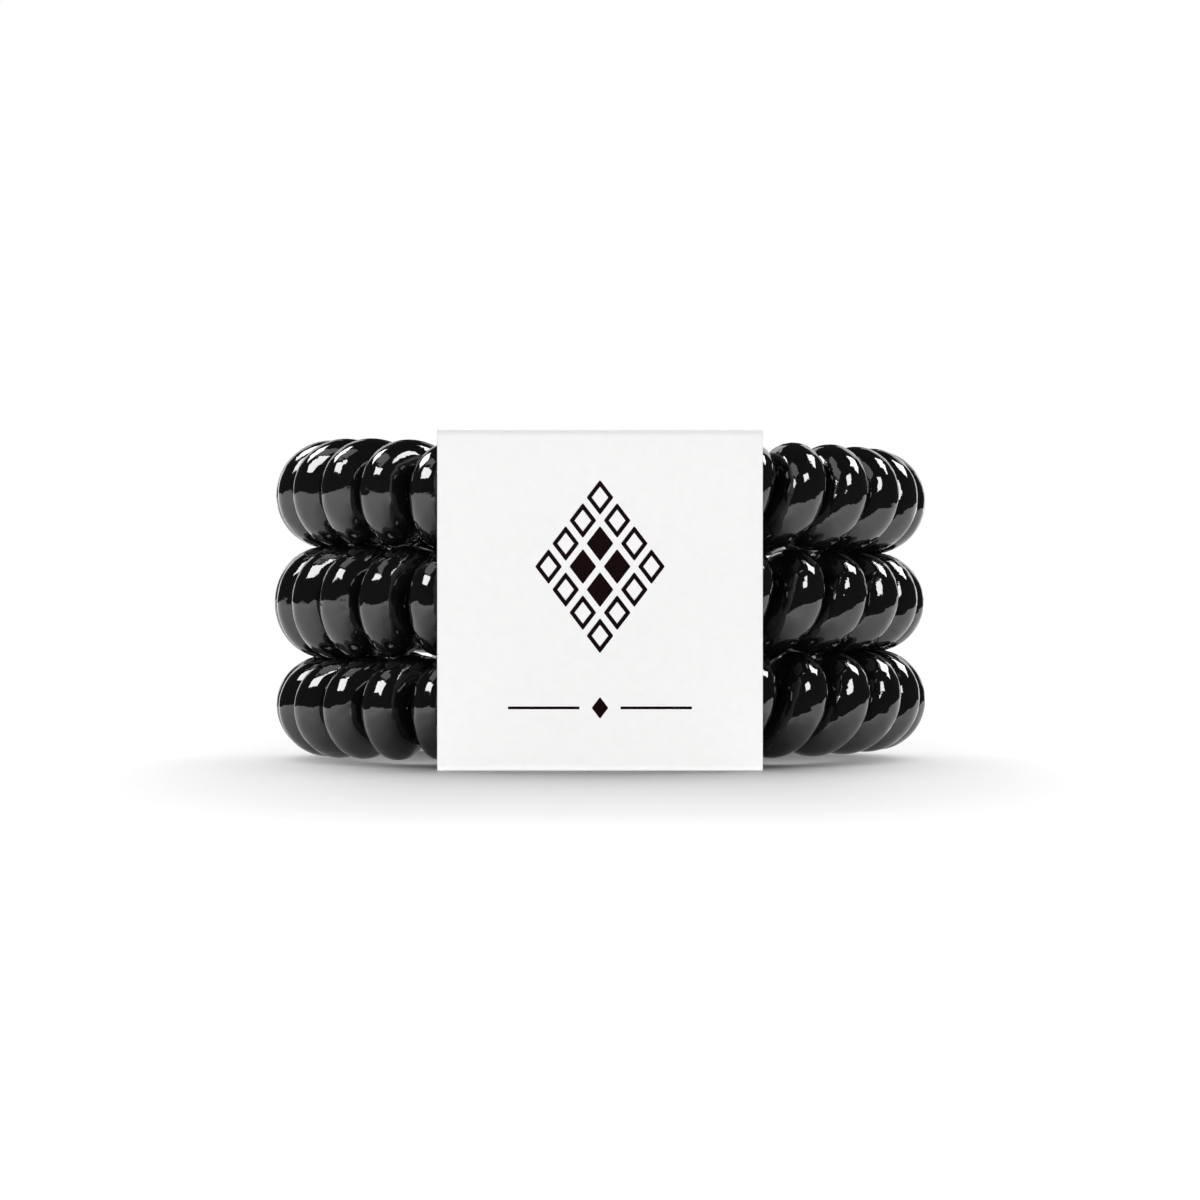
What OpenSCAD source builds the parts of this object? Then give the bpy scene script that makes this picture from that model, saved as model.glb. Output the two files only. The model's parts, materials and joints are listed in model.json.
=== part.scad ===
/* [Ties] */
// Outside diameter of one tie lying flat
tie_od = 51.5; // [48:0.5:64]
// Width of the coil that runs round the tie, from the tie's outside to its hole
coil_d = 8; // [7.8:0.1:9]
// Diameter of the plastic wire that the coil is wound from
wire_d = 3.7; // [3.2:0.05:3.9]
// Gap wanted between neighbouring turns, where they crowd together on the inside of the tie
turn_gap = 0.08; // [0.06:0.01:0.3]
// Gap between one tie and the next in the stack
tie_gap = 0.12; // [0.1:0.01:0.5]

/* [Card sleeve] */
// Width of the card sleeve, along the front of the stack
sleeve_w = 23.75; // [14:0.25:28]
// Thickness of the card
card_t = 0.4; // [0.3:0.05:0.6]
// Outside radius of the sleeve's folds
fold_r = 0.7; // [0.7:0.05:1.5]
// Height of the glued lap, where the card strip's ends lie on each other inside the ties
lap_h = 13; // [6:0.5:18]
// Gap between the card and the ties inside it
card_gap = 0.12; // [0.1:0.01:0.5]
// How far a tie may lie off the middle of the stack, each way
slack = 0.1; // [0:0.05:0.4]

/* [Hidden] */

// How each tie lies, from the bottom of the stack up: its x and y as shares of the slack,
// and how far it is turned about the stack's middle, as a share of one turn of its coil
TIE_X = 0;
TIE_Y = 1;
TIE_TURN = 2;
TIES = [
    [0.3, 0.2, 0.6],
    [-1, 1, 0.58],
    [-0.1, 0, 0.57],
];

// The wire's middle winds at coil_r round a circle of radius axis_r, and inner_r is its least reach
coil_r = (coil_d - wire_d) / 2;
axis_r = tie_od / 2 - coil_d / 2;
inner_r = axis_r - coil_r;
hole_r = tie_od / 2 - coil_d;

// As many turns as the inside of the tie has room for, side by side and slanted as a helix
turn_room = wire_d + turn_gap;
inner_pitch = turn_room / sqrt(1 - pow(turn_room / (2 * PI * coil_r), 2));
turns = floor(2 * PI * inner_r / inner_pitch);

// Neighbouring arcs of wire reach this far into each other, the second a hair thinner than the first
arc_lap = 0.1;
arc_thinner = 0.02;
wire_fn = 48;
fold_fn = 48;

// The wire's middle after t degrees of winding, and the direction in which it runs there
function wound(t) = let (
        around = t / turns,
        r = axis_r + coil_r * cos(t)
    ) [r * cos(around), r * sin(around), coil_r * sin(t)];
function heading(t) = let (
        around = t / turns,
        out = -coil_r * sin(t),
        ahead = (axis_r + coil_r * cos(t)) / turns,
        v = [out * cos(around) - ahead * sin(around), out * sin(around) + ahead * cos(around), coil_r * cos(t)]
    ) v / norm(v);

// Half a turn of wire is two arcs that meet smoothly. The wire leaves p along u and comes to q along v,
// and the arcs meet midway between two points that lie the same reach from p and from q.
FROM = 0;
MEET = 1;
TO = 2;
ALONG = 3;
function reach(p, u, q, v) = let (
        chord = q - p,
        both = u + v,
        k = 2 * (1 - u * v)
    ) (sqrt(pow(chord * both, 2) + k * chord * chord) - chord * both) / k;
function half_turn(t) = let (
        p = wound(t),
        q = wound(t + 180),
        u = heading(t),
        v = heading(t + 180),
        far = reach(p, u, q, v),
        from_p = p + far * u,
        from_q = q - far * v
    ) [p, (from_p + from_q) / 2, q, (from_q - from_p) / norm(from_q - from_p)];

// The arcs meet at the coil's top and bottom, so that the coil is this high
coil_h = 2 * half_turn(0)[MEET].z + wire_d;

// The ties lie one on another, from the sleeve's floor up, with the lid of the sleeve over them
tie_step = coil_h + tie_gap;
stack_base = card_t + card_gap;
stack_h = coil_h + (len(TIES) - 1) * tie_step;
sleeve_h = stack_h + 2 * stack_base;

// The sleeve's front stands before the ties and its inner panel in their hole, clear of them at its edges.
// Both are distances from the stack's middle to the card's outer face.
sleeve_front = tie_od / 2 + slack + card_gap + card_t;
sleeve_inner = sqrt(pow(hole_r - card_gap, 2) - pow(sleeve_w / 2 + slack, 2)) - slack - card_t;

// The origin is under the middle of the pack, whose back is the ties'
pack_back = tie_od / 2 + slack;
origin_y = (sleeve_front - pack_back) / 2;

// One arc of wire of diameter d, which leaves p along u and ends at q
module arc_of_wire(p, u, q, d) {
    chord = q - p;
    half_angle = acos(u * chord / norm(chord));
    r = norm(chord) / (2 * sin(half_angle));
    axis = cross(u, chord) / norm(cross(u, chord));
    out = cross(u, axis);
    centre = p - r * out;
    lap_angle = arc_lap / r * 180 / PI;
    multmatrix([
        [out.x, u.x, axis.x, centre.x],
        [out.y, u.y, axis.y, centre.y],
        [out.z, u.z, axis.z, centre.z],
        [0, 0, 0, 1]
    ])
        rotate([0, 0, -lap_angle / 2])
            rotate_extrude(angle = 2 * half_angle + lap_angle, $fn = wire_fn)
                translate([r, 0])
                    circle(d = d);
}

// One tie about its own middle: an endless coil of wire, bent round into a ring
module tie() {
    color("black")
        for (i = [0 : 2 * turns - 1]) {
            h = half_turn(180 * i);
            arc_of_wire(h[FROM], heading(180 * i), h[MEET], wire_d);
            arc_of_wire(h[MEET], h[ALONG], h[TO], wire_d - arc_thinner);
        }
}

// A tie in its place in the stack, where 0 is the lowest
module stacked_tie(place) {
    lies = TIES[place];
    translate([slack * lies[TIE_X], slack * lies[TIE_Y] + origin_y, stack_base + coil_h / 2 + place * tie_step])
        rotate([0, 0, lies[TIE_TURN] * 360 / turns])
            tie();
}

// A box's outline from (x0, y0) to (x1, y1), with round corners
module round_box(x0, y0, x1, y1, r) {
    translate([x0 + r, y0])
        square([x1 - x0 - 2 * r, y1 - y0]);
    translate([x0, y0 + r])
        square([x1 - x0, y1 - y0 - 2 * r]);
    for (x = [x0 + r, x1 - r], y = [y0 + r, y1 - r])
        translate([x, y])
            circle(r = r, $fn = fold_fn);
}

// The card strip seen from its side, folded into a loop that ends at x = inner
module card_loop(inner, r) {
    difference() {
        round_box(-sleeve_front, 0, inner, sleeve_h, r);
        round_box(-sleeve_front + card_t, card_t, inner - card_t, sleeve_h - card_t, r - card_t);
    }
}

// The sleeve: a strip of card folded round the front of the stack and glued to itself behind it.
// The lap comes up from the floor, on the inner panel's open side.
module card_sleeve() {
    color("white")
        translate([-sleeve_w / 2, origin_y, 0])
            rotate([90, 0, 90])
                linear_extrude(height = sleeve_w) {
                    card_loop(-sleeve_inner, fold_r);
                    intersection() {
                        card_loop(-sleeve_inner + card_t, fold_r + card_t);
                        translate([-sleeve_inner - fold_r, 0])
                            square([fold_r + card_t, lap_h]);
                    }
                }
}

stacked_tie(0);  // tie_bottom
stacked_tie(1);  // tie_middle
stacked_tie(2);  // tie_top
card_sleeve();
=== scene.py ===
"""Spiral hair ties in a card sleeve: the ties as they lie, the card and its print, and the studio."""
import json
import math

import bmesh
import bpy
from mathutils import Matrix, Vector

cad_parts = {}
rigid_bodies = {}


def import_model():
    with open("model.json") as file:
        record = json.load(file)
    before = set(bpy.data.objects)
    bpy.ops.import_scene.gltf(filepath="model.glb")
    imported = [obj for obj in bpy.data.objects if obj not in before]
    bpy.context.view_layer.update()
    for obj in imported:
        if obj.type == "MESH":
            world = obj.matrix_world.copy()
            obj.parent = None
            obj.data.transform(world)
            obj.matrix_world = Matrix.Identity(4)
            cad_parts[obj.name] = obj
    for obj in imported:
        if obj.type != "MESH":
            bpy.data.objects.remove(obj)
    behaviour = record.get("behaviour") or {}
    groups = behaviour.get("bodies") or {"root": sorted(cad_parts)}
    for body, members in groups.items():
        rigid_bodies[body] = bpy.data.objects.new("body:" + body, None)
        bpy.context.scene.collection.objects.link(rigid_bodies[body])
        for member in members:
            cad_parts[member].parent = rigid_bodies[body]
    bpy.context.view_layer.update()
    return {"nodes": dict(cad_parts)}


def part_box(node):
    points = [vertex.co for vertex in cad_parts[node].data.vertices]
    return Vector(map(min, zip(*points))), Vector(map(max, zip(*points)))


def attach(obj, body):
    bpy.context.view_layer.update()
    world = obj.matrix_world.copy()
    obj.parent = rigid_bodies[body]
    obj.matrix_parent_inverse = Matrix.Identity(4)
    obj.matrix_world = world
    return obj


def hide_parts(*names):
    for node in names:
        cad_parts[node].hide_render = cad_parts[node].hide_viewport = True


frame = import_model()

MM = 0.001

# The ties, as their solids have them. Each is turned by a share of one turn of its coil.
TIE_OD = 51.5 * MM
COIL_D = 8 * MM
WIRE_D = 3.7 * MM
TURNS = 31
TIES = {"tie_bottom": 0.6, "tie_middle": 0.58, "tie_top": 0.57}
POINTS_PER_TURN = 56
WIRE_ROUNDNESS = 11
DOUBLES = 0.01 * MM
WOBBLE = 0.12 * MM
WOBBLE_SIZE = 9 * MM

# How far the turns' outer halves lean, top against bottom, as a share of the helix's height: at the left
# of the card and at its right. Each lean grows along x towards its own side. It fades out behind the
# ring's middle, between two shares of the ring's radius.
LEAN = {-1: -0.34, 1: 0.12}
LEAN_FROM = -8 * MM
LEAN_FULL = 12 * MM
LEAN_AHEAD_FROM = -0.5
LEAN_AHEAD_FULL = 0.25

# How far each tie's foot and head rise, in millimetres: at its left, in the sleeve and at its right.
# In the sleeve the ties are pressed together, and their turns sit between each other. Beside it they
# spring apart, from the first of two distances along x to the second.
PRESSED = {
    "tie_bottom": [(-0.25, -0.2), (0.0, 0.2), (0.2, 0.3)],
    "tie_middle": [(-0.55, 0.45), (-0.14, 0.14), (-0.05, -0.05)],
    "tie_top": [(0.15, 0.65), (-0.2, 0.0), (-0.3, 0.05)],
}
SPRING_FROM = 8 * MM
SPRING_FULL = 22 * MM

# The seam where a tie's two ends are fused: how far the wire stands out there, ring by ring of its points
SEAM_RISE = [0.11 * MM, 0.07 * MM, -0.03 * MM, -0.02 * MM]

# The card has its solid's thickness and lap, and tighter folds. An edge this near to a corner is at its fold.
CARD_T = 0.4 * MM
LAP_H = 13 * MM
FOLD_R = 0.45 * MM
FOLD_STEPS = 8
AT_A_FOLD = 0.02 * MM

# The inner panel ends a little above the lap's foot, and lies a slip away from the lap
UNDER_LAP = 1.2 * MM
SLIP = 0.02 * MM

# The card's warp, the cuts that let its panels bend, and its broken edges
PANEL_CUTS = 7
CARD_WARP = 0.07 * MM
CARD_WARP_SIZE = 14 * MM
CUT_EDGE = 0.05 * MM
CUT_EDGE_STEPS = 2
SHARP_FROM = math.radians(60)
SMOOTH_UNDER = math.radians(35)

# The print on the card's front. A diamond's size is from its middle to its corners, and a rule's is
# its whole length and height.
INK_T = 0.012 * MM
DIAMOND = Vector((0.98, 1.28)) * MM
DIAMOND_STEP = Vector((2.5, 1.68)) * MM
DIAMOND_ROWS = [1, 2, 3, 4, 3, 2, 1]
DIAMOND_LINE = 0.3 * MM
DIAMOND_CORNER = 0.08 * MM
DIAMOND_CORNER_STEPS = 3
LOZENGE_UP = 14.9 * MM
RULE_UP = 4.6 * MM
RULE = Vector((5.2, 0.2)) * MM
RULE_APART = 8.2 * MM
RULE_DIAMOND = 0.62

# The finishes: their colours, how rough each is where it is smoothest, how much rougher it gets, and
# the depth of its relief
PLASTIC_BLACKS = [(0.0028, 0.0027, 0.0034, 1), (0.0065, 0.006, 0.0068, 1)]
PLASTIC_ROUGH = 0.035
PLASTIC_SMEAR = 0.1
PLASTIC_RELIEF = 0.15 * MM
PLASTIC_PEEL = 0.08
CARD_WHITES = [(0.84, 0.84, 0.835, 1), (0.9, 0.9, 0.895, 1)]
CARD_CUT = (0.62, 0.61, 0.58, 1)
CARD_CUT_SHOWS = 0.35
CARD_CUT_FIBRES = 0.5
CARD_ROUGH = 0.5
CARD_FIBRES_ROUGH = 0.2
CARD_RELIEF = 0.012 * MM
CARD_MOTTLE = 0.6
INKS = [(0.0035, 0.0007, 0.0012, 1), (0.009, 0.0018, 0.003, 1)]
INK_ROUGH = 0.38
INK_PATCHES_ROUGH = 0.2
INK_RELIEF = 0.004 * MM

# Where a Mix node that is set to colours takes and gives them
MIX_FIRST_COLOUR = 6
MIX_SECOND_COLOUR = 7
MIX_COLOUR = 2

# The floor: how pale the sheet is, and how white it glows. Far from the pack it glows evenly white. Near the
# pack the floor's colour holds painted light and shade: a part glow beside the card, painted light on the
# ties' shadows there; a dimmer, grey glow before and behind the pack, a painted shade; and a darker sheet in
# the ties' hole, a painted shadow. The spans say where a change starts and ends, as a distance from the
# floor's middle or, beside the card and the ties, along x each way.
FLOOR_SIZE = 4
FLOOR_ROUGH = 0.7
FLOOR_PALE = [0.35, 0.36]
# A painted shadow: the sheet's darker shade in the ties' hole
FLOOR_HOLE_PAINTED_SHADOW = 0.15
# Painted grey and white: the floor glows dimmer before and behind the pack, as a painted shade, than beside
# the ties and far away
FLOOR_GLOW = [0.9, 1.1]
OUT_OF_HOLE = [8 * MM, 28 * MM]
NEAR_PACK = [45 * MM, 140 * MM]
BESIDE_CARD = [8 * MM, 30 * MM]
BESIDE_TIES = [24 * MM, 42 * MM]
# How much the floor glows beside the card: painted light that lightens the ties' shadows there
BESIDE_CARD_PAINTED_LIGHT = 0.7

# The world's light on surfaces, in gloss, and behind the object, where 1 is plain white
WORLD_DIFFUSE = 0.1
WORLD_GLOSSY = 0.035
WORLD_SEEN = 1.0

# The panels that the ties' gloss shows: how far away and how bright most of them are, and what they face
BOX_AWAY = 0.6
BOX_RADIANCE = 10.0
STACK_FRONT = (0, -20 * MM, 12 * MM)

# The picture, in its own pixels, with its scale at the card's front
PIXELS = 1200
PIXELS_PER_MM = 13.72
DISTANCE_PX = 4000
HORIZON_PX = 614
CARD_FOOT_PX = 771
SENSOR = 36
NEAREST_SEEN = 10 * MM


def deselect():
    for item in bpy.context.selected_objects:
        item.select_set(False)


def only(piece):
    """Makes a piece the one thing selected and active."""
    deselect()
    piece.select_set(True)
    bpy.context.view_layer.objects.active = piece


def add(primitive, name, **place):
    """A new primitive, named, alone and selected."""
    deselect()
    primitive(**place)
    piece = bpy.context.object
    piece.name = name
    piece.data.name = name
    return piece


def edit(piece):
    only(piece)
    bpy.ops.object.mode_set(mode="EDIT")


def done():
    bpy.ops.object.mode_set(mode="OBJECT")


def pick(kind, test):
    """In edit mode, selects just the verts, edges or faces that pass a test."""
    bpy.ops.mesh.select_mode(type={"verts": "VERT", "edges": "EDGE", "faces": "FACE"}[kind])
    bpy.ops.mesh.select_all(action="DESELECT")
    mesh = bmesh.from_edit_mesh(bpy.context.object.data)
    for item in getattr(mesh, kind):
        item.select_set(test(item))
    mesh.select_flush_mode()
    bmesh.update_edit_mesh(bpy.context.object.data)


def modify(piece, kind, **settings):
    """Puts a modifier on a piece and applies it."""
    only(piece)
    modifier = piece.modifiers.new(kind.title(), kind)
    for name, value in settings.items():
        setattr(modifier, name, value)
    bpy.ops.object.modifier_apply(modifier=modifier.name)


def apply_place():
    """Puts the active piece's place, turn and scale into its mesh."""
    bpy.ops.object.transform_apply(location=True, rotation=True, scale=True)


def settle(piece, location=(0, 0, 0), turn=0.0):
    """Moves and turns a piece, and puts its place into its mesh."""
    only(piece)
    piece.location = location
    piece.rotation_euler.z = turn
    apply_place()


def wobble(piece, strength, size, direction):
    """Puts a piece's points slightly out of true, by a slow pattern that is the same each time."""
    pattern = bpy.data.textures.new(piece.name + "_wobble", "CLOUDS")
    pattern.noise_scale = size
    pattern.noise_depth = 0
    modify(piece, "DISPLACE", texture=pattern, texture_coords="LOCAL", direction=direction,
           strength=strength)


def ring_middle(node):
    """The middle of a tie's ring, from its solid."""
    vertices = frame["nodes"][node].data.vertices
    return sum((v.co for v in vertices), Vector()) / len(vertices)


def eased(value, start, full):
    """0 up to start, 1 from full on, and smooth between them."""
    share = min(max((value - start) / (full - start), 0), 1)
    return share * share * (3 - 2 * share)


def lean(piece, ring_r, coil_r):
    """Leans the turns' outer halves as the sleeve holds them: upright at the left, slanted at the right."""
    rise = max(v.co.z for v in piece.data.vertices) - min(v.co.z for v in piece.data.vertices)
    for side, share in LEAN.items():
        group = piece.vertex_groups.new(name="lean")
        for vertex in piece.data.vertices:
            outer = eased(vertex.co.xy.length, ring_r - coil_r, ring_r + coil_r)
            beside = eased(side * vertex.co.x, LEAN_FROM, LEAN_FULL)
            ahead = eased(-vertex.co.y, LEAN_AHEAD_FROM * ring_r, LEAN_AHEAD_FULL * ring_r)
            group.add([vertex.index], outer * beside * ahead, "REPLACE")
        modify(piece, "SIMPLE_DEFORM", deform_method="TWIST", deform_axis="Z", vertex_group=group.name,
               angle=share * rise / (ring_r + coil_r))
        piece.vertex_groups.clear()


def press(piece, node):
    """Lets a tie's foot and head rise or sink, by one rule in the sleeve and others beside it."""
    left, held, right = PRESSED[node]
    half = max(vertex.co.z for vertex in piece.data.vertices)
    for vertex in piece.data.vertices:
        free = left if vertex.co.x < 0 else right
        beside = eased(abs(vertex.co.x), SPRING_FROM, SPRING_FULL)
        foot, head = (there + (outside - there) * beside for there, outside in zip(held, free))
        up = (vertex.co.z / half + 1) / 2
        vertex.co.z += (foot + (head - foot) * up) * MM


def coil_path(node, turned):
    """The line in the middle of a tie's wire: a helix drawn by a screw and bent into a ring, which is then
    leaned, pressed and made a little uneven."""
    low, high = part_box(node)
    ring_r = (TIE_OD - COIL_D) / 2
    coil_r = (COIL_D - WIRE_D) / 2
    half_rise = (high.z - low.z - WIRE_D) / 2
    piece = add(bpy.ops.mesh.primitive_plane_add, node + "_wire", size=MM)
    edit(piece)
    bpy.ops.mesh.merge(type="CENTER")
    bpy.ops.transform.translate(value=(0, -coil_r, 0))
    done()
    modify(piece, "SCREW", axis="X", angle=-2 * math.pi, screw_offset=2 * math.pi * ring_r / TURNS,
           iterations=TURNS, steps=POINTS_PER_TURN, render_steps=POINTS_PER_TURN)
    modify(piece, "SIMPLE_DEFORM", deform_method="BEND", deform_axis="Z", angle=2 * math.pi)
    edit(piece)
    bpy.ops.mesh.select_all(action="SELECT")
    bpy.ops.mesh.remove_doubles(threshold=DOUBLES)
    bpy.ops.transform.translate(value=(0, -ring_r, 0))
    bpy.ops.transform.resize(value=(1, 1, half_rise / coil_r), center_override=(0, 0, 0))
    done()
    settle(piece, turn=math.pi / 2 + turned * 2 * math.pi / TURNS)
    lean(piece, ring_r, coil_r)
    press(piece, node)
    settle(piece, location=ring_middle(node))
    wobble(piece, WOBBLE, WOBBLE_SIZE, "RGB_TO_XYZ")
    return piece


def fused_seam(piece):
    """Raises the seam where the wire's ends are fused, on the turn that is furthest back."""
    back = max(piece.data.vertices, key=lambda v: v.co.y).co.copy()
    points_in_ring = 2 * (WIRE_ROUNDNESS + 2)
    rings = len(piece.data.vertices) // points_in_ring
    nearest = min(piece.data.vertices, key=lambda v: (v.co - back).length).index // points_in_ring
    edit(piece)
    for away, rise in enumerate(SEAM_RISE):
        wanted = {(nearest + away) % rings, (nearest - away) % rings}
        pick("verts", lambda v: v.index // points_in_ring in wanted)
        bpy.ops.transform.shrink_fatten(value=rise)
    done()


def tie(node, turned):
    """One tie: its wire's path, made round, closed and smooth."""
    piece = coil_path(node, turned)
    only(piece)
    bpy.ops.object.convert(target="CURVE")
    piece.data.bevel_depth = WIRE_D / 2
    piece.data.bevel_resolution = WIRE_ROUNDNESS
    piece.data.twist_mode = "MINIMUM"
    bpy.ops.object.convert(target="MESH")
    piece = bpy.context.object
    fused_seam(piece)
    only(piece)
    bpy.ops.object.shade_smooth()
    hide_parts(node)
    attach(piece, "root")
    return piece


def folded_card():
    """The sleeve: a strip of card from the inner panel over the stack, down the front and up as the lap."""
    low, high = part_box("card_sleeve")
    width = high.x - low.x
    height = high.z - low.z
    panel = high.y - CARD_T - SLIP
    piece = add(bpy.ops.mesh.primitive_plane_add, "card", size=width, rotation=(math.pi / 2, 0, 0),
                location=(0, panel, low.z + UNDER_LAP + width / 2))
    apply_place()
    edit(piece)
    pick("edges", lambda e: all(v.co.z > low.z + width for v in e.verts))
    bpy.ops.transform.translate(value=(0, 0, height - UNDER_LAP - width))
    for move in ((0, low.y - panel, 0), (0, 0, -height), (0, high.y - low.y, 0), (0, 0, LAP_H)):
        bpy.ops.mesh.extrude_edges_move(TRANSFORM_OT_translate={"value": move})
    folds = [(panel, high.z, FOLD_R), (low.y, high.z, FOLD_R), (low.y, low.z, FOLD_R),
             (high.y, low.z, FOLD_R + CARD_T)]
    for y, z, radius in folds:
        pick("edges", lambda e: all(abs(v.co.y - y) + abs(v.co.z - z) < AT_A_FOLD for v in e.verts))
        bpy.ops.mesh.bevel(offset=radius, segments=FOLD_STEPS, affect="EDGES", clamp_overlap=False)
    for _ in ("across", "along"):
        pick("edges", lambda e: e.calc_length() > CARD_WARP_SIZE / 2)
        bpy.ops.mesh.subdivide(number_cuts=PANEL_CUTS)
    bpy.ops.mesh.select_all(action="SELECT")
    bpy.ops.mesh.normals_make_consistent(inside=False)
    done()
    wobble(piece, CARD_WARP, CARD_WARP_SIZE, "Y")
    modify(piece, "SOLIDIFY", thickness=CARD_T, offset=-1)
    modify(piece, "BEVEL", width=CUT_EDGE, segments=CUT_EDGE_STEPS, limit_method="ANGLE",
           angle_limit=SHARP_FROM)
    only(piece)
    bpy.ops.object.shade_smooth_by_angle(angle=SMOOTH_UNDER)
    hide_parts("card_sleeve")
    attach(piece, "root")
    return piece


def raise_ink():
    """In edit mode, gives a flat patch of ink its thickness."""
    bpy.ops.mesh.select_all(action="SELECT")
    bpy.ops.mesh.extrude_region_move(TRANSFORM_OT_translate={"value": (0, -INK_T, 0)})
    bpy.ops.mesh.select_all(action="SELECT")
    bpy.ops.mesh.normals_make_consistent(inside=False)


def printed_diamond(name, outlined):
    """A small diamond of ink at the origin, flat on the plane y = 0 and raised towards the front."""
    piece = add(bpy.ops.mesh.primitive_circle_add, name, vertices=4, radius=1, fill_type="NGON",
                rotation=(math.pi / 2, 0, 0))
    apply_place()
    edit(piece)
    bpy.ops.mesh.select_all(action="SELECT")
    bpy.ops.transform.resize(value=(DIAMOND.x, 1, DIAMOND.y), center_override=(0, 0, 0))
    bpy.ops.mesh.bevel(offset=DIAMOND_CORNER, segments=DIAMOND_CORNER_STEPS, affect="VERTICES")
    if outlined:
        pick("faces", lambda f: True)
        bpy.ops.mesh.inset(thickness=DIAMOND_LINE)
        bpy.ops.mesh.delete(type="FACE")
    raise_ink()
    done()
    return piece


def lay_on_card(pieces, name):
    """Joins pieces of ink, and lays them on the card's front as the card is warped there."""
    only(pieces[0])
    for piece in pieces[1:]:
        piece.select_set(True)
    if len(pieces) > 1:
        bpy.ops.object.join()
    piece = pieces[0]
    piece.name = name
    piece.data.name = name
    settle(piece, location=(0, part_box("card_sleeve")[0].y, 0))
    wobble(piece, CARD_WARP, CARD_WARP_SIZE, "Y")
    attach(piece, "root")


def copies(pattern, places, scale=1.0):
    """A copy of a pattern piece, with a mesh of its own, at each place on the card's face."""
    made = []
    for x, z in places:
        piece = pattern.copy()
        piece.data = pattern.data.copy()
        bpy.context.scene.collection.objects.link(piece)
        only(piece)
        piece.scale = (scale, 1, scale)
        piece.location = (x, 0, z)
        apply_place()
        made.append(piece)
    return made


def diamonds():
    """The ornament: rows of small diamonds, outlined round a solid middle, and one between the rules."""
    outer, inner = [], []
    for row, count in enumerate(DIAMOND_ROWS):
        up = LOZENGE_UP + (len(DIAMOND_ROWS) // 2 - row) * DIAMOND_STEP.y
        for column in range(count):
            place = ((column - (count - 1) / 2) * DIAMOND_STEP.x, up)
            (outer if column in (0, count - 1) else inner).append(place)
    outlined = printed_diamond("outlined", True)
    solid = printed_diamond("solid", False)
    lay_on_card(copies(outlined, outer), "print_outlines")
    lay_on_card(copies(solid, inner), "print_diamonds")
    lay_on_card(copies(solid, [(0, RULE_UP)], RULE_DIAMOND), "print_rule_diamond")
    for pattern in (outlined, solid):
        bpy.data.objects.remove(pattern)


def rules():
    """The thin line on each side of the small diamond near the card's foot."""
    sides = []
    for side in (-1, 1):
        line = add(bpy.ops.mesh.primitive_plane_add, "rule", size=1, rotation=(math.pi / 2, 0, 0))
        apply_place()
        edit(line)
        bpy.ops.mesh.select_all(action="SELECT")
        bpy.ops.transform.resize(value=(RULE.x, 1, RULE.y), center_override=(0, 0, 0))
        bpy.ops.transform.translate(value=(side * RULE_APART / 2, 0, RULE_UP))
        pick("edges", lambda e: e.calc_length() > RULE.x / 2)
        bpy.ops.mesh.subdivide(number_cuts=PANEL_CUTS)
        raise_ink()
        done()
        sides.append(line)
    lay_on_card(sides, "print_rule")


def grey(level):
    return (level, level, level, 1)


class Socket:
    """What a node gives. A sum with it, written as plain Python, adds Math nodes."""

    def __init__(self, finish, out):
        self.finish = finish
        self.out = out

    def math(self, operation, *values):
        return self.finish.node("ShaderNodeMath", {"operation": operation}, values)

    def __add__(self, other):
        return self.math("ADD", self, other)

    def __radd__(self, other):
        return self.math("ADD", other, self)

    def __rsub__(self, other):
        return self.math("SUBTRACT", other, self)

    def __mul__(self, other):
        return self.math("MULTIPLY", self, other)

    def __rmul__(self, other):
        return self.math("MULTIPLY", other, self)

    def __abs__(self):
        return self.math("ABSOLUTE", self)

    def between(self, low, high):
        """0 below low, 1 above high, and smooth from one to the other."""
        return self.finish.node("ShaderNodeMapRange", {"interpolation_type": "SMOOTHSTEP"},
                                {"Value": self, "From Min": low, "From Max": high})


class Finish:
    """One material, and the nodes that paint it."""

    def __init__(self, name, **shader):
        self.material = bpy.data.materials.new(name)
        self.material.use_nodes = True
        self.tree = self.material.node_tree
        self.shader = self.tree.nodes["Principled BSDF"]
        for socket, value in shader.items():
            self.shader.inputs[socket].default_value = value

    def node(self, kind, settings=None, inputs=(), give=0):
        """Adds a node with its settings and inputs, and gives one of its outputs."""
        made = self.tree.nodes.new(kind)
        for name, value in (settings or {}).items():
            setattr(made, name, value)
        for name, value in (inputs.items() if isinstance(inputs, dict) else enumerate(inputs)):
            if isinstance(value, Socket):
                self.tree.links.new(value.out, made.inputs[name])
            else:
                made.inputs[name].default_value = value
        return Socket(self, made.outputs[give])

    def paint(self, name, value):
        self.tree.links.new(value.out, self.shader.inputs[name])

    def place(self):
        """Where a point is on the object, in metres."""
        return self.node("ShaderNodeTexCoord", give="Object")

    def sideways(self, place):
        """How far a place is from the middle plane of the object, to the left or the right."""
        return abs(self.node("ShaderNodeSeparateXYZ", inputs=[place], give="X"))

    def noise(self, place, size, detail=2.0, rough=0.5):
        """Cloudy noise from 0 to 1 whose lumps are about so big."""
        return self.node("ShaderNodeTexNoise", give="Fac", inputs={
            "Vector": place, "Scale": 1 / size, "Detail": detail, "Roughness": rough})

    def blend(self, share, first, second):
        """One colour shading into another."""
        inputs = {"Factor": share, MIX_FIRST_COLOUR: first, MIX_SECOND_COLOUR: second}
        return self.node("ShaderNodeMix", {"data_type": "RGBA"}, inputs, give=MIX_COLOUR)

    def bump(self, height, depth):
        """Relief, so many metres deep where the height goes from 0 to 1."""
        self.paint("Normal", self.node("ShaderNodeBump", inputs={"Height": height, "Distance": depth}))

    def cover(self, *pieces):
        for piece in pieces:
            piece.data.materials.clear()
            piece.data.materials.append(self.material)


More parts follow.
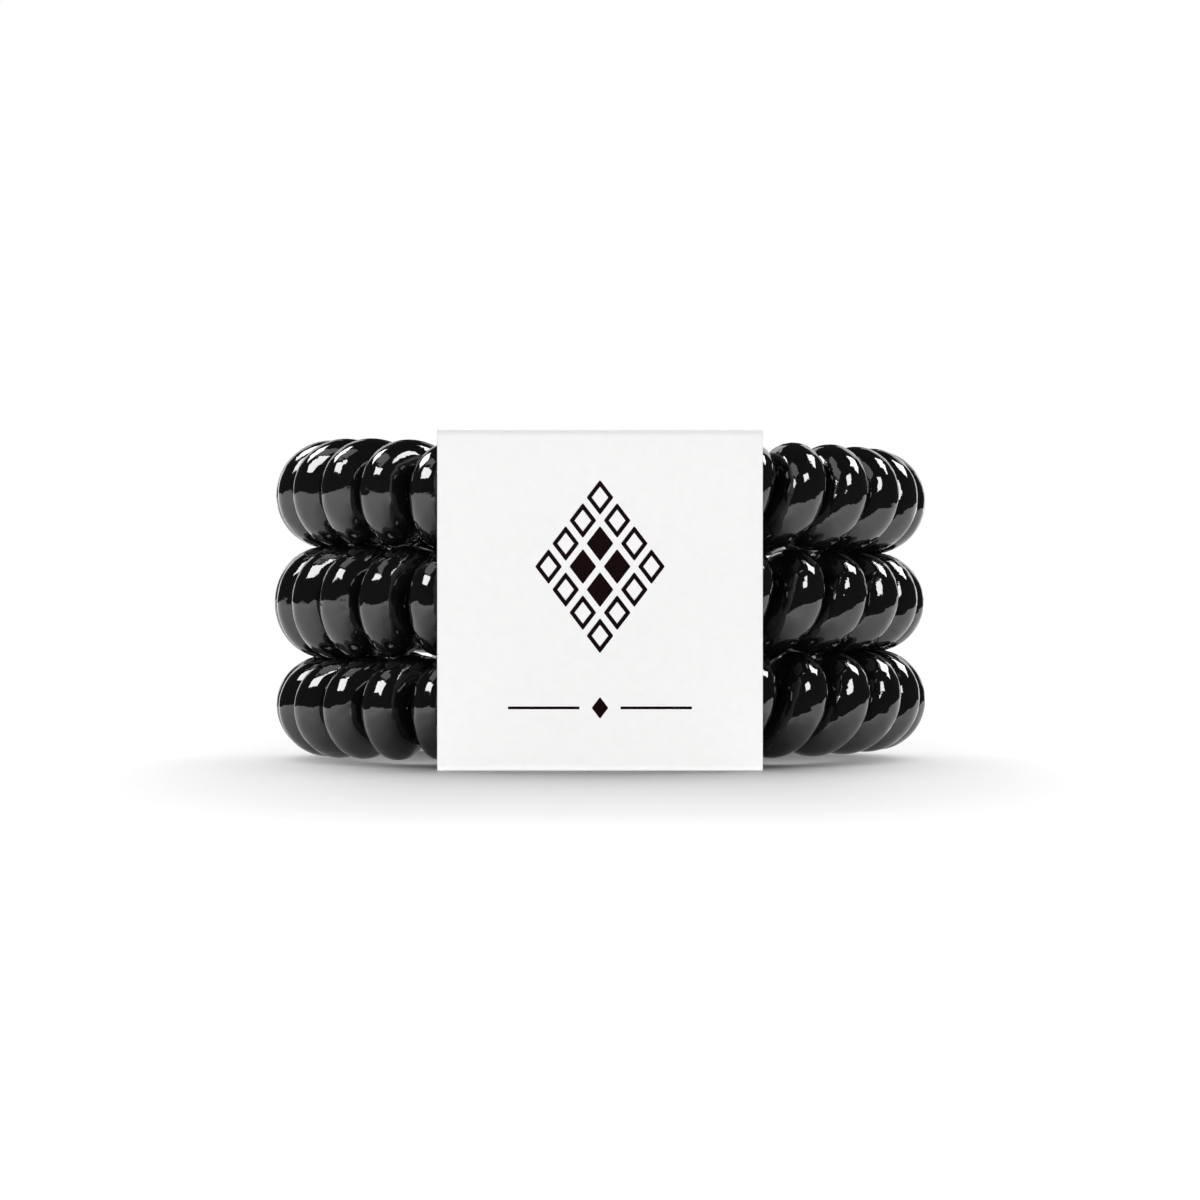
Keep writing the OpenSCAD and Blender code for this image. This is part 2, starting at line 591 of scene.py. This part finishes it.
def glossy_plastic():
    """The ties' plastic: near black, wet-looking, with the slight ripple that moulded wire has."""
    finish = Finish("glossy_black_plastic", IOR=1.8)
    place = finish.place()
    cloud = finish.noise(place, size=2.5 * MM, detail=3.0)
    finish.paint("Base Color", finish.blend(cloud, *PLASTIC_BLACKS))
    smear = finish.noise(place, size=1.4 * MM, detail=4.0, rough=0.6)
    finish.paint("Roughness", PLASTIC_ROUGH + smear.between(0.45, 0.8) * PLASTIC_SMEAR)
    ripple = finish.noise(place, size=1.7 * MM, detail=1.0)
    peel = finish.noise(place, size=0.5 * MM)
    finish.bump(ripple + peel * PLASTIC_PEEL, PLASTIC_RELIEF)
    return finish


def white_card():
    """The card: white, faintly mottled, with fine fibres that are bare at its cut sides."""
    finish = Finish("white_card", IOR=1.45)
    place = finish.place()
    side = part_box("card_sleeve")[1].x
    cut = finish.sideways(place).between(side - CUT_EDGE, side - CUT_EDGE / 2)
    mottle = finish.noise(place, size=0.9 * MM, detail=4.0, rough=0.6)
    fibres = finish.noise(place, size=0.12 * MM, detail=3.0, rough=0.7)
    face = finish.blend(mottle, *CARD_WHITES)
    bared = cut * (CARD_CUT_SHOWS + CARD_CUT_FIBRES * fibres)
    finish.paint("Base Color", finish.blend(bared, face, CARD_CUT))
    finish.paint("Roughness", CARD_ROUGH + fibres * CARD_FIBRES_ROUGH)
    finish.bump(fibres + mottle * CARD_MOTTLE, CARD_RELIEF)
    return finish


def dark_ink():
    """The print: a dark aubergine ink, a little uneven where it lies on the card's fibres."""
    finish = Finish("dark_ink", IOR=1.15)
    patchy = finish.noise(finish.place(), size=0.25 * MM, detail=3.0, rough=0.6)
    finish.paint("Base Color", finish.blend(patchy, *INKS))
    finish.paint("Roughness", INK_ROUGH + patchy * INK_PATCHES_ROUGH)
    finish.bump(patchy, INK_RELIEF)
    return finish


def studio_floor():
    """The floor: a pale sheet, which glows plain white apart from the pack and its shadow.
    Near the pack it holds painted light and shade: in the ties' hole it is a darker sheet, a painted shadow;
    it glows less before and behind the pack than at its sides, a painted grey shade; and beside the card it
    glows in part, a painted light that lightens the ties' shadows there."""
    finish = Finish("studio_floor", Roughness=FLOOR_ROUGH)
    finish.shader.inputs["Emission Strength"].default_value = 1.0
    place = finish.place()
    away = finish.node("ShaderNodeVectorMath", {"operation": "LENGTH"}, [place], give="Value")
    beside = finish.sideways(place)
    outside = away.between(*OUT_OF_HOLE)
    near = 1 - away.between(*NEAR_PACK)
    # The share in which the floor glows rather than takes light: none in the hole, all far away, and in part
    # beside the card, as painted light over the ties' shadows
    lit = outside * (1 - near * (1 - beside.between(*BESIDE_CARD) * BESIDE_CARD_PAINTED_LIGHT))
    # Where the glow is full white rather than the dimmer painted grey before and behind the pack
    white = 1 - near * (1 - beside.between(*BESIDE_TIES))
    glow = finish.blend(white, *map(grey, FLOOR_GLOW))
    grain = finish.noise(place, size=6 * MM)
    sheet = finish.blend(grain, *map(grey, FLOOR_PALE))
    # A painted shadow: a darker sheet in the ties' hole
    shade = finish.blend(outside, grey(FLOOR_HOLE_PAINTED_SHADOW), sheet)
    finish.paint("Base Color", finish.blend(lit, shade, grey(0)))
    finish.paint("Emission Color", finish.blend(lit, grey(0), glow))
    floor = add(bpy.ops.mesh.primitive_plane_add, "floor", size=FLOOR_SIZE)
    finish.cover(floor)
    return floor


def light_panel(name, kind, azimuth, elevation, size, distance=BOX_AWAY, radiance=BOX_RADIANCE,
                target=STACK_FRONT, lights=()):
    """A light panel facing its target. Azimuth is from the front, rightwards. Radiance 1 is plain white.
    Its light falls on surfaces (diffuse) or shows in their gloss (glossy). With some pieces given to
    light, it lights nothing else."""
    light = bpy.data.lights.new(name, "AREA")
    light.shape = "RECTANGLE"
    light.size, light.size_y = size
    light.energy = radiance * math.pi * size[0] * size[1]
    lamp = bpy.data.objects.new(name, light)
    bpy.context.scene.collection.objects.link(lamp)
    a, e = math.radians(azimuth), math.radians(elevation)
    away = Vector((math.sin(a) * math.cos(e), -math.cos(a) * math.cos(e), math.sin(e)))
    lamp.location = Vector(target) + away * distance
    lamp.rotation_euler = away.to_track_quat("Z", "Y").to_euler()
    lamp.visible_camera = False
    lamp.visible_diffuse = kind == "diffuse"
    lamp.visible_glossy = kind == "glossy"
    if lights:
        lit = bpy.data.collections.new(name + "_lights")
        for piece in lights:
            lit.objects.link(piece)
        lamp.light_linking.receiver_collection = lit


def studio_panels(floor, card, top_tie):
    """The light on the floor and the card, and the panels that the ties' gloss shows. Where those stand
    comes from the bright spots on the turns in the photo."""
    light_panel("overhead", "diffuse", 180, 56, (1.0, 0.9), distance=0.8, radiance=8.0, lights=[floor])
    light_panel("card_top", "diffuse", 180, 56, (1.0, 0.9), distance=0.8, radiance=3.2, lights=[card])
    light_panel("front_fill", "diffuse", 0, 3, (0.9, 0.1), distance=0.9, radiance=17.4)
    # This one lies just above the floor before the card's foot, and shines up
    light_panel("foot_fill", "diffuse", 0, -90, (40 * MM, 14 * MM), distance=9.98 * MM, radiance=0.62,
                target=(0, -32.5 * MM, 10 * MM), lights=[card])
    light_panel("box_left", "glossy", -50, 39, (0.38, 0.19))
    light_panel("box_front", "glossy", 33, 48, (0.21, 0.2))
    light_panel("box_right", "glossy", 115, 54, (0.24, 0.25))
    # This one is near the pack, and gives the top tie's left turns their second spot
    light_panel("near_top_left", "glossy", -115, 52, (28 * MM, 28 * MM), distance=70 * MM,
                target=(-18 * MM, -12 * MM, 20 * MM), lights=[top_tie])
    light_panel("dim_left", "glossy", -62, 61, (0.38, 0.19), radiance=1.0)
    for side in (-1, 1):
        light_panel("behind", "glossy", side * 158, 15, (0.34, 0.7), distance=0.8, radiance=1.2)


def studio_world():
    """White behind the object, dark in its gloss, and a little even light on its surfaces."""
    world = bpy.data.worlds.new("studio")
    bpy.context.scene.world = world
    world.use_nodes = True
    tree = world.node_tree
    rays = tree.nodes.new("ShaderNodeLightPath")

    def plain(level):
        shade = tree.nodes.new("ShaderNodeBackground")
        shade.inputs["Color"].default_value = grey(level)
        return shade.outputs[0]

    last = plain(WORLD_DIFFUSE)
    for name, level in (("Is Glossy Ray", WORLD_GLOSSY), ("Is Camera Ray", WORLD_SEEN)):
        mix = tree.nodes.new("ShaderNodeMixShader")
        tree.links.new(rays.outputs[name], mix.inputs[0])
        tree.links.new(last, mix.inputs[1])
        tree.links.new(plain(level), mix.inputs[2])
        last = mix.outputs[0]
    tree.links.new(last, tree.nodes["World Output"].inputs["Surface"])


def camera():
    """The picture's camera, almost level with the stack's middle, where the fit to the photo puts it."""
    pixel = MM / PIXELS_PER_MM
    made = bpy.data.objects.new("camera", bpy.data.cameras.new("camera"))
    bpy.context.scene.collection.objects.link(made)
    made.data.sensor_width = SENSOR
    made.data.lens = SENSOR * DISTANCE_PX / PIXELS
    made.data.clip_start = NEAREST_SEEN
    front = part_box("card_sleeve")[0].y
    made.location = (0, front - DISTANCE_PX * pixel, (CARD_FOOT_PX - HORIZON_PX) * pixel)
    made.rotation_euler = (math.pi / 2 - math.atan((PIXELS / 2 - HORIZON_PX) / DISTANCE_PX), 0, 0)
    bpy.context.scene.camera = made
    bpy.context.scene.view_settings.view_transform = "Standard"


ties = {node: tie(node, turned) for node, turned in TIES.items()}
glossy_plastic().cover(*ties.values())
card = folded_card()
white_card().cover(card)
diamonds()
rules()
dark_ink().cover(*[item for item in bpy.data.objects if item.name.startswith("print_")])

studio_world()
studio_panels(studio_floor(), card, ties["tie_top"])
camera()
